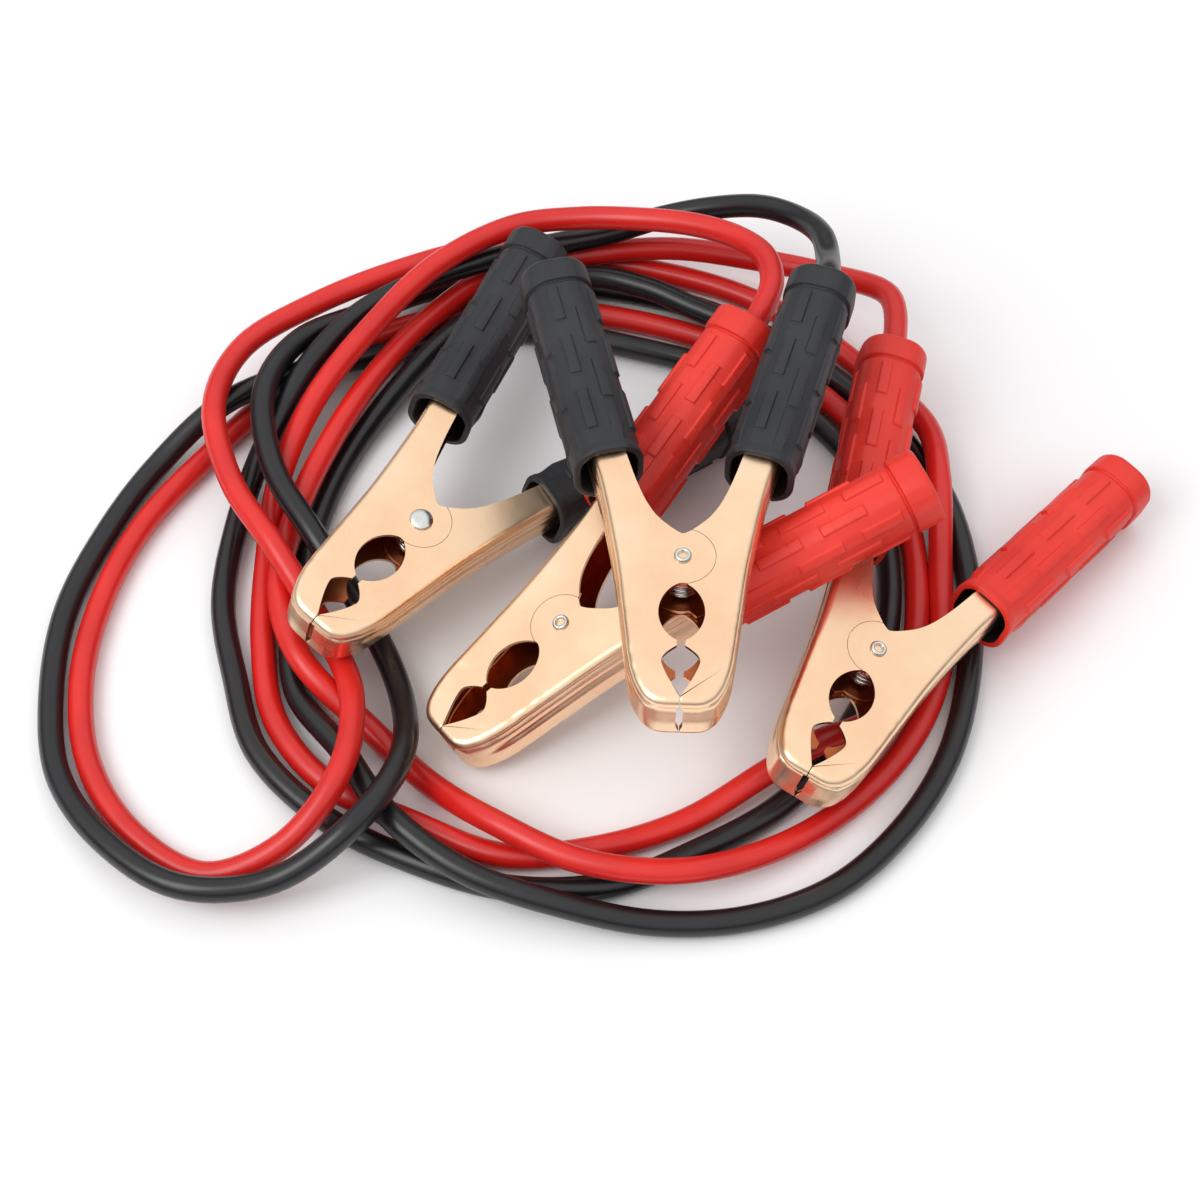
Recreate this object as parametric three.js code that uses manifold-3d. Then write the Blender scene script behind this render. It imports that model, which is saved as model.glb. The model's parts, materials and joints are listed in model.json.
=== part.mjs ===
// A set of car jumper cables: one red and one black cable, each with a spring clamp at both ends,
// lying loosely coiled on the floor. Millimetres, +Z up, the floor is Z = 0.
import * as THREE from 'three';
import Module from 'manifold-3d';
import { mergeVertices } from 'three/addons/utils/BufferGeometryUtils.js';

const wasm = await Module();
wasm.setup();
const { Manifold, Mesh } = wasm;

// Clamp: pressed copper-plated halves, seen along the rivet with the handles towards +X
const SHEET = 1.2; // thickness of the pressed steel
const CLAMP_HEIGHT = 18; // over both cheeks of a half
const JAW_LENGTH = 50; // rivet to jaw tip
const TIP_HALF_WIDTH = 7.4; // flat nose of each half
const JAW_HALF_WIDTH = 17.2; // at the big bite
const PIVOT_HALF_WIDTH = 19.8; // at the rivet
const JAW_GAP = 0.3; // between the two closed noses
const TOOTH_GAP = 2.2; // between the points that part the two bites
const BIG_BITE_U = -19.4; // centre of the round bite
const BIG_BITE_LENGTH = 20;
const BIG_BITE_WIDTH = 13.4;
const SMALL_BITE_U = -37.4; // centre of the diamond bite
const SMALL_BITE_LENGTH = 14.2;
const SMALL_BITE_WIDTH = 11.2;
const LOBE_RADIUS = 9.6; // round ear about the rivet
const LOBE_CLEARANCE = 0.4; // between the ear and the other half
const LEAF_CLEARANCE = 0.3; // between the overlapping leaves
const NECK_WIDTH = 2.4; // joggled rim outside the ear
const CROTCH_U = 9.7; // bottom of the V between the handles
const RIB_HEIGHT = 6; // pressed groove along the back
const RIB_DEPTH = 0.6;

// Handle arm and the plastic grip on it
const GRIP_START_U = 36; // mouth of the grip
const GRIP_START_V = 22.5;
const GRIP_END_U = 111; // end of the cap
const GRIP_END_V = 43;
const ARM_WIDTH = 10;
const ARM_INSIDE = 52; // length of the arm inside the grip
const GRIP_WIDTH = 20.6;
const GRIP_HEIGHT = 22.2;
const GRIP_CORNER = 8.2;
const CAP_LENGTH = 9;
const CAP_STEP = 0.7; // how far the cap stands proud of the grip
const CAP_GROOVE = 1; // width of the groove under the cap
const GROOVE_DEPTH = 0.6;
const RIM_LENGTH = 3; // flared mouth
const RIM_STEP = 0.5;
const FIT_CLEARANCE = 0.3; // between the arm and the grip

// Rivet and torsion spring
const RIVET_RADIUS = 2.4;
const RIVET_HOLE_CLEARANCE = 0.25;
const RIVET_HEAD_RADIUS = 4.1;
const RIVET_TAIL_RADIUS = 2.9;
const RIVET_HEAD_HEIGHT = 1.3;
const RIVET_TAIL_HEIGHT = 0.9;
const RIVET_DIMPLE_RADIUS = 1.3;
const RIVET_DIMPLE_DEPTH = 1.6;
const HEAD_GAP = 0.1; // under the rivet's heads
const SPRING_WIRE = 1.7;
const SPRING_RADIUS = 5.3; // to the middle of the wire
const SPRING_TURNS = 4;
const SPRING_PITCH = 2.05;
const SPRING_LONG_LEG = 17;
const SPRING_SHORT_LEG = 9;

// Cables
const CABLE_DIAMETER = 8;
const CABLE_SIDES = 10;
const CABLE_STEPS = 90;
const CABLE_REST = 0.5; // between a lying strand and the floor
const CABLE_GAP = 0.3; // between a cap and the cable that leaves it

// How each clamp lies: the rivet's middle, then the turn about Z, the rise of the handles and the roll
const CLAMP_A = { at: [-57.8, 6.2, 28.9], yaw: 51.4, rise: -3, roll: 15, free: 1, headUp: true };
const CLAMP_B = { at: [24, -34.8, 66.6], yaw: 88, rise: 0, roll: 0, free: 1, headUp: false };
const CLAMP_C = { at: [-9.4, -29.8, 25], yaw: 38.4, rise: 16.6, roll: -6, free: -1, headUp: false };
const CLAMP_D = { at: [82.2, -41.1, 27], yaw: 62.3, rise: -3, roll: 11.5, free: -1, headUp: false };

const COPPER = { color: 0xd9a37c, roughness: 0.28, metalness: 1 };
const STEEL = { color: 0xb9bdb8, roughness: 0.35, metalness: 1 };
const RED = { color: 0xd8241c, roughness: 0.42, metalness: 0 };
const BLACK = { color: 0x232527, roughness: 0.5, metalness: 0 };

// Solid helpers
function solid(geometry) {
  const g = geometry.clone();
  for (const name of Object.keys(g.attributes)) {
    if (name !== 'position') g.deleteAttribute(name);
  }
  const merged = mergeVertices(g, 1e-4);
  const mesh = new Mesh({
    numProp: 3,
    vertProperties: new Float32Array(merged.attributes.position.array),
    triVerts: new Uint32Array(merged.index.array),
  });
  mesh.merge();
  return new Manifold(mesh);
}

function geometryOf(body) {
  const mesh = body.getMesh();
  const g = new THREE.BufferGeometry();
  g.setAttribute('position', new THREE.BufferAttribute(new Float32Array(mesh.vertProperties), 3));
  g.setIndex(new THREE.BufferAttribute(new Uint32Array(mesh.triVerts), 1));
  const flat = g.toNonIndexed();
  flat.computeVertexNormals();
  return flat;
}

// A slab of an outline in the clamp's plane, between two heights
function slab(points, low, high) {
  const shape = new THREE.Shape(points.map(([u, v]) => new THREE.Vector2(u, v)));
  const g = new THREE.ExtrudeGeometry(shape, { depth: high - low, bevelEnabled: false });
  g.translate(0, 0, low);
  return solid(g);
}

function disc(radius, low, high, sides = 20) {
  const g = new THREE.CylinderGeometry(radius, radius, high - low, sides);
  g.rotateX(Math.PI / 2);
  g.translate(0, 0, (low + high) / 2);
  return solid(g);
}

function spline(points, steps) {
  const curve = new THREE.SplineCurve(points.map(([u, v]) => new THREE.Vector2(u, v)));
  return curve.getPoints(steps).map((p) => [p.x, p.y]);
}

// Handle direction in the clamp's plane
const gripRun = Math.hypot(GRIP_END_U - GRIP_START_U, GRIP_END_V - GRIP_START_V);
const gripCos = (GRIP_END_U - GRIP_START_U) / gripRun;
const gripSin = (GRIP_END_V - GRIP_START_V) / gripRun;
const gripAngle = Math.atan2(gripSin, gripCos);

// A point beside the grip's axis: along it from the mouth, and to its outer side
function besideGrip(along, out) {
  return [
    GRIP_START_U + along * gripCos - out * gripSin,
    GRIP_START_V + along * gripSin + out * gripCos,
  ];
}

// Back edge of a half from the nose to the end of the arm, moved inwards by an offset
function backEdge(inset) {
  const bend = besideGrip(-9, ARM_WIDTH / 2 - inset);
  const edge = spline(
    [
      [-JAW_LENGTH + inset, TIP_HALF_WIDTH - inset * 0.4],
      [-JAW_LENGTH + 2.6 + inset * 0.8, TIP_HALF_WIDTH + 3.6 - inset * 0.8],
      [-JAW_LENGTH + 10 + inset * 0.3, JAW_HALF_WIDTH - 3.2 - inset],
      [BIG_BITE_U, JAW_HALF_WIDTH - inset],
      [0, PIVOT_HALF_WIDTH - inset],
      bend,
      besideGrip(0, ARM_WIDTH / 2 - inset),
    ],
    15,
  );
  return [...edge, besideGrip(ARM_INSIDE, ARM_WIDTH / 2 - inset)];
}

// Inner edge of a half from the end of the arm back to the nose
function innerEdge() {
  const crotch = spline(
    [
      besideGrip(0, -ARM_WIDTH / 2),
      besideGrip(-12, -ARM_WIDTH / 2 + 0.3),
      [CROTCH_U + 4.4, 9.2],
      [CROTCH_U + 1.2, 4.9],
      [CROTCH_U, 3],
      [LOBE_RADIUS * 0.8, JAW_GAP / 2],
    ],
    8,
  );
  return [besideGrip(ARM_INSIDE, -ARM_WIDTH / 2), ...crotch];
}

function ovalBite(centre, length, width, sides) {
  const points = [];
  for (let i = 0; i < sides; i++) {
    const a = (2 * Math.PI * i) / sides;
    points.push([centre + (length / 2) * Math.cos(a), (width / 2) * Math.sin(a)]);
  }
  return points;
}

function diamondBite(centre, length, width) {
  const points = [];
  for (let i = 0; i < 16; i++) {
    const a = (2 * Math.PI * i) / 16;
    const c = Math.cos(a);
    const s = Math.sin(a);
    const pull = 1 / Math.pow(Math.pow(Math.abs(c), 1.35) + Math.pow(Math.abs(s), 1.35), 1 / 1.35);
    points.push([centre + (length / 2) * c * pull, (width / 2) * s * pull]);
  }
  return points;
}

function mirrored(points, side) {
  return side > 0 ? points : points.map(([u, v]) => [u, -v]).reverse();
}

// One pressed half on the given side. The outer leaf lies over the ear of the inner leaf.
function clampHalf(side, outerLeaf) {
  const half = CLAMP_HEIGHT / 2;
  const outline = mirrored([...backEdge(0), ...innerEdge(), [-JAW_LENGTH, JAW_GAP / 2]], side);
  let body = slab(outline, -half, half);
  const leafTop = half - SHEET - LEAF_CLEARANCE;
  if (outerLeaf) {
    body = body.add(disc(LOBE_RADIUS, -half, half));
  } else {
    body = body.subtract(disc(LOBE_RADIUS + LOBE_CLEARANCE, -half - 1, half + 1));
    const ear = disc(LOBE_RADIUS - LOBE_CLEARANCE, -leafTop, leafTop);
    const web = slab(outline, -leafTop, leafTop).intersect(
      disc(LOBE_RADIUS + LOBE_CLEARANCE + 1, -half, half),
    );
    body = body.add(ear).add(web);
  }
  // Room between the cheeks, open towards the other half
  const reach = 30;
  const nose = [-JAW_LENGTH + SHEET, -reach];
  const cavity = mirrored(
    [...backEdge(SHEET), besideGrip(ARM_INSIDE + 5, ARM_WIDTH / 2 - SHEET), [GRIP_END_U, -reach], nose],
    side,
  );
  const room = outerLeaf ? half - SHEET : leafTop - SHEET;
  let inner = slab(cavity, -(half - SHEET), half - SHEET);
  if (!outerLeaf) {
    const neck = disc(LOBE_RADIUS + LOBE_CLEARANCE + NECK_WIDTH, -half, half);
    inner = inner.subtract(neck).add(slab(cavity, -room, room));
  }
  body = body.subtract(inner);
  const big = slab(ovalBite(BIG_BITE_U, BIG_BITE_LENGTH, BIG_BITE_WIDTH, 18), -half - 1, half + 1);
  const small = slab(diamondBite(SMALL_BITE_U, SMALL_BITE_LENGTH, SMALL_BITE_WIDTH), -half - 1, half + 1);
  const toothSlot = slab(
    [
      [SMALL_BITE_U, -TOOTH_GAP / 2],
      [BIG_BITE_U, -TOOTH_GAP / 2],
      [BIG_BITE_U, TOOTH_GAP / 2],
      [SMALL_BITE_U, TOOTH_GAP / 2],
    ],
    -half - 1,
    half + 1,
  );
  body = body.subtract(big).subtract(small).subtract(toothSlot);
  body = body.subtract(disc(RIVET_RADIUS + RIVET_HOLE_CLEARANCE, -half - 1, half + 1, 14));
  const groove = [...backEdge(-1).slice(5), ...backEdge(RIB_DEPTH).slice(5).reverse()];
  body = body.subtract(slab(mirrored(groove, side), -RIB_HEIGHT / 2, RIB_HEIGHT / 2));
  return geometryOf(body);
}

// Rounded rectangle across the grip, as points (out, up)
function roundedSection(width, height, corner, arcs = 3) {
  const points = [];
  const cx = width / 2 - corner;
  const cy = height / 2 - corner;
  const centres = [
    [cx, cy],
    [-cx, cy],
    [-cx, -cy],
    [cx, -cy],
  ];
  centres.forEach(([x, y], q) => {
    for (let i = 0; i <= arcs; i++) {
      const a = ((q + i / arcs) * Math.PI) / 2;
      points.push([x + corner * Math.cos(a), y + corner * Math.sin(a)]);
    }
  });
  return points;
}

// A length of the grip along its own +X from one distance to another
function gripLength(width, height, corner, from, to) {
  const shape = new THREE.Shape(
    roundedSection(width, height, corner).map(([x, y]) => new THREE.Vector2(x, y)),
  );
  const g = new THREE.ExtrudeGeometry(shape, { depth: to - from, bevelEnabled: false });
  g.translate(0, 0, from);
  g.rotateY(Math.PI / 2);
  g.rotateX(Math.PI / 2);
  return solid(g);
}

// The plastic grip, along +X from its mouth
function gripBody() {
  const capStart = gripRun - CAP_LENGTH;
  const section = (step) => [GRIP_WIDTH + 2 * step, GRIP_HEIGHT + 2 * step, GRIP_CORNER + step];
  let body = gripLength(...section(0), 0, capStart - CAP_GROOVE);
  body = body.add(gripLength(...section(-GROOVE_DEPTH), 1, gripRun - 1));
  body = body.add(gripLength(...section(CAP_STEP), capStart, gripRun - 1.2));
  body = body.add(gripLength(...section(-0.6), gripRun - 1.6, gripRun));
  body = body.add(gripLength(...section(RIM_STEP), 0, RIM_LENGTH));
  const bore = new THREE.BoxGeometry(
    ARM_INSIDE + 2 + 1,
    CLAMP_HEIGHT + 2 * FIT_CLEARANCE,
    ARM_WIDTH + 2 * FIT_CLEARANCE,
  );
  bore.rotateX(Math.PI / 2);
  bore.translate((ARM_INSIDE + 2 + 1) / 2 - 1, 0, 0);
  return geometryOf(body.subtract(solid(bore)));
}

// Rivet along Z with a domed head at +Z and a rolled tail at -Z
function rivetBody() {
  const seat = CLAMP_HEIGHT / 2 + HEAD_GAP;
  const tail = seat + RIVET_TAIL_HEIGHT;
  const profile = [
    [0, -tail + RIVET_DIMPLE_DEPTH],
    [RIVET_DIMPLE_RADIUS, -tail + RIVET_DIMPLE_DEPTH * 0.7],
    [RIVET_DIMPLE_RADIUS + 0.2, -tail + 0.1],
    [RIVET_DIMPLE_RADIUS + 0.7, -tail],
    [RIVET_TAIL_RADIUS, -seat - RIVET_TAIL_HEIGHT * 0.35],
    [RIVET_TAIL_RADIUS, -seat],
    [RIVET_RADIUS, -seat],
    [RIVET_RADIUS, seat],
    [RIVET_HEAD_RADIUS, seat],
    [RIVET_HEAD_RADIUS, seat + RIVET_HEAD_HEIGHT * 0.35],
    [RIVET_HEAD_RADIUS * 0.7, seat + RIVET_HEAD_HEIGHT * 0.85],
    [0, seat + RIVET_HEAD_HEIGHT],
  ].map(([r, z]) => new THREE.Vector2(r, z));
  const g = new THREE.LatheGeometry(profile, 14);
  g.rotateX(Math.PI / 2);
  return geometryOf(solid(g));
}

// A round wire or cable along a list of points
class Route extends THREE.CatmullRomCurve3 {
  constructor(points) {
    super(points.map((p) => new THREE.Vector3(...p)), false, 'centripetal');
    this.arcLengthDivisions = 2000;
  }
}

function tube(curve, diameter, sides, steps) {
  const shape = new THREE.Shape();
  for (let i = 0; i < sides; i++) {
    const a = (2 * Math.PI * i) / sides;
    const x = (diameter / 2) * Math.cos(a);
    const y = (diameter / 2) * Math.sin(a);
    if (i === 0) shape.moveTo(x, y);
    else shape.lineTo(x, y);
  }
  shape.closePath();
  return new THREE.ExtrudeGeometry(shape, { steps, bevelEnabled: false, extrudePath: curve });
}

// Torsion spring about the rivet, with its long leg in the half that holds the cable
function springBody(side) {
  const points = [];
  const perTurn = 8;
  const count = SPRING_TURNS * perTurn;
  const low = (-SPRING_TURNS * SPRING_PITCH) / 2;
  points.push([SPRING_LONG_LEG, -side * SPRING_RADIUS, low]);
  points.push([SPRING_LONG_LEG / 2, -side * SPRING_RADIUS, low]);
  for (let i = 0; i <= count; i++) {
    const turn = i / perTurn;
    const a = -side * (Math.PI / 2 + turn * 2 * Math.PI);
    points.push([SPRING_RADIUS * Math.cos(a), SPRING_RADIUS * Math.sin(a), low + turn * SPRING_PITCH]);
  }
  points.push([-SPRING_SHORT_LEG / 2, -side * SPRING_RADIUS, -low]);
  const g = tube(new Route(points), SPRING_WIRE, 6, count + 6);
  return geometryOf(solid(g));
}

// Cable routes: points chosen along the strands that the photograph shows, each with its lift off
// the floor. The first and last points are worked out from the caps that hold the cable.
const RED_ROUTE = [
  [56, 89, 49], [54, 102, 47], [45, 114, 43], [31, 123, 39], [12, 130, 34], [-8, 133, 31], [-30, 131, 29],
  [-56, 115, 27], [-77, 93, 21], [-94, 69, 15], [-105, 41, 8], [-108, 11, 1], [-107, -20, 0], [-101, -48, 0],
  [-84, -70, 0], [-57, -84, 0], [-30, -95, 0], [-2, -93, 0], [26, -84, 1], [52, -69, 6], [67, -62, 11],
  [82, -53, 7], [97, -30, 2], [102, -2, 0], [101, 28, 0], [92, 57, 0], [74, 81, 1], [50, 98, 1],
  [24, 110, 0], [-5, 117, 0], [-34, 119, 0], [-64, 112, 0], [-91, 99, 0], [-113, 78, 0], [-133, 52, 0],
  [-150, 26, 0], [-160, -3, 0], [-163, -34, 0], [-157, -64, 0], [-141, -88, 0], [-118, -102, 1], [-94, -96, 9],
  [-78, -76, 17], [-76, -48, 14], [-86, -21, 8], [-103, 5, 18], [-119, 31, 18], [-127, 60, 20], [-120, 89, 16],
  [-98, 110, 13], [-70, 125, 13], [-42, 137, 10], [-13, 142, 1], [17, 137, 0], [46, 127, 0], [71, 111, 0],
  [92, 89, 1], [109, 63, 6], [111, 38, 10], [110, 8, 2], [107, -30, 0], [95, -57, 0], [75, -79, 0],
  [50, -96, 4], [23, -105, 9], [-6, -102, 10], [-31, -89, 9], [-52, -71, 1], [-71, -52, 1], [-93, -32, 10],
  [-102, -5, 8], [-99, 25, 8], [-89, 55, 9], [-75, 84, 9], [-57, 109, 9], [-35, 128, 9], [-5, 136, 9],
  [25, 139, 9], [54, 134, 9], [80, 124, 12], [98, 106, 22],
];
const BLACK_ROUTE = [
  [74, 93, 55], [73, 107, 51], [67, 120, 45], [55, 131, 39], [40, 138, 31], [22, 141, 23], [3, 138, 18],
  [-26, 129, 19], [-55, 119, 18], [-80, 105, 16], [-98, 80, 16], [-111, 53, 8], [-119, 25, 1], [-121, -4, 0],
  [-115, -32, 0], [-106, -59, 0], [-84, -82, 0], [-56, -97, 0], [-27, -106, 0], [3, -105, 0], [29, -94, 0],
  [55, -78, 0], [74, -56, 0], [87, -31, 0], [93, -3, 0], [92, 27, 0], [84, 53, 0], [67, 75, 0],
  [43, 91, 0], [14, 101, 0], [-16, 108, 0], [-46, 107, 0], [-74, 98, 1], [-100, 85, 8], [-126, 70, 9],
  [-148, 49, 1], [-162, 22, 0], [-171, -7, 0], [-172, -38, 0], [-166, -68, 1], [-149, -92, 4], [-124, -109, 7],
  [-96, -108, 9], [-72, -94, 19], [-60, -70, 15], [-62, -41, 4], [-74, -14, 7], [-91, 11, 16], [-106, 37, 18],
  [-111, 66, 20], [-102, 92, 15], [-81, 112, 6], [-56, 128, 1], [-26, 132, 0], [5, 128, 0], [35, 119, 0],
  [61, 104, 0], [82, 86, 0], [102, 61, 0], [114, 37, 0], [119, 4, 0], [116, -32, 0], [107, -62, 0],
  [91, -87, 0], [70, -106, 0], [44, -116, 0], [16, -118, 1], [-13, -114, 6], [-40, -105, 9], [-63, -87, 10],
  [-79, -62, 6], [-95, -38, 1], [-98, -8, 0], [-94, 21, 0], [-86, 50, 0], [-71, 77, 3], [-51, 100, 9],
  [-28, 119, 9], [-4, 126, 9], [16, 121, 9], [32, 112, 9], [46, 103, 10], [55, 93, 11], [57, 85, 11],
  [54, 77, 9],
];

const group = new THREE.Group();
group.name = 'jumper_cables';

function place(clamp) {
  const holder = new THREE.Group();
  holder.position.set(...clamp.at);
  holder.rotation.set(
    THREE.MathUtils.degToRad(clamp.roll),
    THREE.MathUtils.degToRad(-clamp.rise),
    THREE.MathUtils.degToRad(clamp.yaw),
    'ZYX',
  );
  holder.updateMatrixWorld(true);
  return holder;
}

function named(name, geometry, material) {
  const mesh = new THREE.Mesh(geometry, new THREE.MeshStandardMaterial(material));
  mesh.name = name;
  return mesh;
}

// One clamp, with its free half on the side clamp.free and the cable's half on the other
function buildClamp(letter, clamp, plastic) {
  const holder = place(clamp);
  holder.name = `clamp_${letter}`;
  const free = clamp.free;
  holder.add(named(`clamp_${letter}_free_jaw`, clampHalf(free, true), COPPER));
  holder.add(named(`clamp_${letter}_cable_jaw`, clampHalf(-free, false), COPPER));
  for (const [kind, side] of [['free', free], ['cable', -free]]) {
    const grip = named(`clamp_${letter}_${kind}_grip`, gripBody(), plastic);
    grip.position.set(GRIP_START_U, side * GRIP_START_V, 0);
    grip.rotation.z = side * gripAngle;
    holder.add(grip);
  }
  const rivet = named(`clamp_${letter}_rivet`, rivetBody(), STEEL);
  if (!clamp.headUp) rivet.rotation.x = Math.PI;
  holder.add(rivet);
  holder.add(named(`clamp_${letter}_spring`, springBody(free), STEEL));
  group.add(holder);
  return holder;
}

// Where the cable leaves its cap, and the direction it leaves in
function capExit(clamp) {
  const holder = place(clamp);
  const side = -clamp.free;
  const end = new THREE.Vector3(GRIP_END_U + CABLE_GAP * gripCos, side * (GRIP_END_V + CABLE_GAP * gripSin), 0);
  const away = new THREE.Vector3(gripCos, side * gripSin, 0);
  return {
    point: end.applyMatrix4(holder.matrix),
    away: away.transformDirection(holder.matrix),
  };
}

function cable(name, from, to, middle, material) {
  const start = capExit(from);
  const finish = capExit(to);
  const lead = CABLE_DIAMETER;
  const points = [
    start.point.toArray(),
    start.point.clone().addScaledVector(start.away, lead).toArray(),
    ...middle.map(([x, y, lift]) => [x, y, CABLE_DIAMETER / 2 + CABLE_REST + lift]),
    finish.point.clone().addScaledVector(finish.away, lead).toArray(),
    finish.point.toArray(),
  ];
  const g = tube(new Route(points), CABLE_DIAMETER, CABLE_SIDES, CABLE_STEPS);
  group.add(named(name, g, material));
}

buildClamp('a', CLAMP_A, BLACK);
buildClamp('b', CLAMP_B, BLACK);
buildClamp('c', CLAMP_C, RED);
buildClamp('d', CLAMP_D, RED);
cable('red_cable', CLAMP_C, CLAMP_D, RED_ROUTE, RED);
cable('black_cable', CLAMP_B, CLAMP_A, BLACK_ROUTE, BLACK);

// The origin lies on the floor under the middle of the four clamps
const clamps = group.children.filter((child) => child.name.startsWith('clamp'));
const middle = new THREE.Box3();
for (const clamp of clamps) middle.expandByObject(clamp, true);
group.position.set(-(middle.min.x + middle.max.x) / 2, -(middle.min.y + middle.max.y) / 2, -middle.min.z);

export default group;
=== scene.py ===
import json
import math

import bmesh
import bpy
from mathutils import Matrix, Vector


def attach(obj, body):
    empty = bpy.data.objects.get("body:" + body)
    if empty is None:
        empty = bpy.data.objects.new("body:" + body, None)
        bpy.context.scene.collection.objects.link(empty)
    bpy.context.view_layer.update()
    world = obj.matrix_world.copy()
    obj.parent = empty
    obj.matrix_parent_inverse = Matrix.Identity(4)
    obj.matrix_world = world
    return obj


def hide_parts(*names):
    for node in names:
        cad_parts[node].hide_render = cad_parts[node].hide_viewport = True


# A set of car jumper cables: two cables, each with a sprung clamp at both ends, loosely coiled.
# Metres in Blender. The sizes below are in millimetres and the CAD's own. Only the bites, the nose, the
# V between the handles, the gap round the ears, the rivet's ends, the spring's leg and the cable's
# straight ends differ a little from it.

MM = 0.001

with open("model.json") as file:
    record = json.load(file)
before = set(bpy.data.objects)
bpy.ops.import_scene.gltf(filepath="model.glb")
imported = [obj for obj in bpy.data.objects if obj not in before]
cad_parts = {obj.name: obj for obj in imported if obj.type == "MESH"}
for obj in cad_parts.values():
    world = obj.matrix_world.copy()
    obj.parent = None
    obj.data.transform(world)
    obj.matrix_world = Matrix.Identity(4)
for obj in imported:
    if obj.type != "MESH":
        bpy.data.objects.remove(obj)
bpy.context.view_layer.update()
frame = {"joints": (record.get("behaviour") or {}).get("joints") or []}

ROOT = "cables_and_fixed_halves"

# Clamp
SHEET = 1.2
CLAMP_HEIGHT = 18.0
JAW_LENGTH = 50.0
TIP_HALF_WIDTH = 7.4
JAW_HALF_WIDTH = 17.2
PIVOT_HALF_WIDTH = 19.8
JAW_GAP = 0.3
TOOTH_GAP = 2.2
BIG_BITE_U = -19.4
BIG_BITE_LENGTH = 20.0
BIG_BITE_WIDTH = 13.4
SMALL_BITE_U = -35.8  # where it is widest
SMALL_BITE_BACK = 5.6
SMALL_BITE_AHEAD = 11.8
SMALL_BITE_WIDTH = 11.2
LOBE_RADIUS = 9.6
LOBE_CLEARANCE = 0.15
LEAF_CLEARANCE = 0.3
CROTCH_U = 7.8
EDGE_ROUND = 2.6  # bend between a cheek and the back wall
GROOVE_DEPTH_WALL = 1.1
GROOVE_START = 6.0  # behind the nose, where the groove begins
GROOVE_RUN_IN = 8.0
TAB_RUN = 2.2  # behind the nose, over which the folded tab ends
TAB_SET_BACK = 0.6
TAB_NOTCH = 1.0  # half the notch between the two halves' tabs
LIP_DEEPER = 1.6  # how much deeper the gap under the cheek is at the nose
EAR_ROOT = 2.6
SHEET_BEVEL = 0.22
EAR_BEVEL = 0.2
LOBE_STEP = math.radians(2)
BITE_STEP = math.radians(4)
EDGE_SPACING = 0.45  # least distance between two points of a cheek's inner edge

# Grip
GRIP_START = Vector((36.0, 22.5))
GRIP_END = Vector((111.0, 43.0))
ARM_WIDTH = 10.0
ARM_SHOWN = 24.0
GRIP_WIDTH = 20.6
GRIP_HEIGHT = 22.2
GRIP_CORNER = 8.2
GRIP_WALL = 1.5
CAP_LENGTH = 9.0
CAP_STEP = 0.7
CAP_GROOVE = 1.0
CAP_GROOVE_DEPTH = 0.6
RIM_LENGTH = 3.0
RIM_STEP = 0.5
BAR_ROWS = 10
BAR_LENGTH = 15.5
BAR_PITCH = 21.6
BAR_FIRST = 9.0
BAR_RISE = 0.85
BAR_SLOPE = 0.6
BAR_SHORTEST = 8.0
BAR_SHARE = 0.54  # of a row's width that its bars take
MOUTH_BAR_START = 3.0  # behind the rim, where the half bars at the mouth begin
SLEEVE_INSIDE = ((1.5, -GRIP_WALL - 0.1), (14, -GRIP_WALL - 0.3), (26, -GRIP_WALL - 0.5))
INNER_RINGS = len(SLEEVE_INSIDE)

# Rivet and spring
RIVET_RADIUS = 2.4
RIVET_HEAD_RADIUS = 3.7
RIVET_TAIL_RADIUS = 2.6
RIVET_HEAD_HEIGHT = 1.3
RIVET_TAIL_HEIGHT = 0.9
RIVET_DIMPLE_RADIUS = 1.3
RIVET_DIMPLE_DEPTH = 1.6
HEAD_GAP = 0.1
SPRING_WIRE = 1.7
SPRING_RADIUS = 5.3
SPRING_TURNS = 4
SPRING_PITCH = 2.05
SPRING_LONG_LEG = 7.0
SPRING_SHORT_LEG = 9.0

# Cables
CABLE_DIAMETER = 8.0
CABLE_REST = 0.5
CABLE_GAP = 0.3
CABLE_LEAD = 5.0

# How each clamp lies: layout place, turn about Z, rise of the handles, roll, the free half's side.
# Heights, rises and rolls were chosen. A scratch fit to the photo gave the places and turns.
CLAMPS = {
    "a": {"at": (-57.8, 6.2, 28.9), "yaw": 51.4, "rise": -3, "roll": 15, "free": 1, "head_up": True},
    "b": {"at": (24, -34.8, 66.6), "yaw": 88, "rise": 0, "roll": 0, "free": 1, "head_up": False},
    "c": {"at": (-9.4, -29.8, 25), "yaw": 38.4, "rise": 16.6, "roll": -6, "free": -1, "head_up": False},
    "d": {"at": (82.2, -41.1, 27), "yaw": 62.3, "rise": -3, "roll": 11.5, "free": -1, "head_up": False},
}

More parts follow.
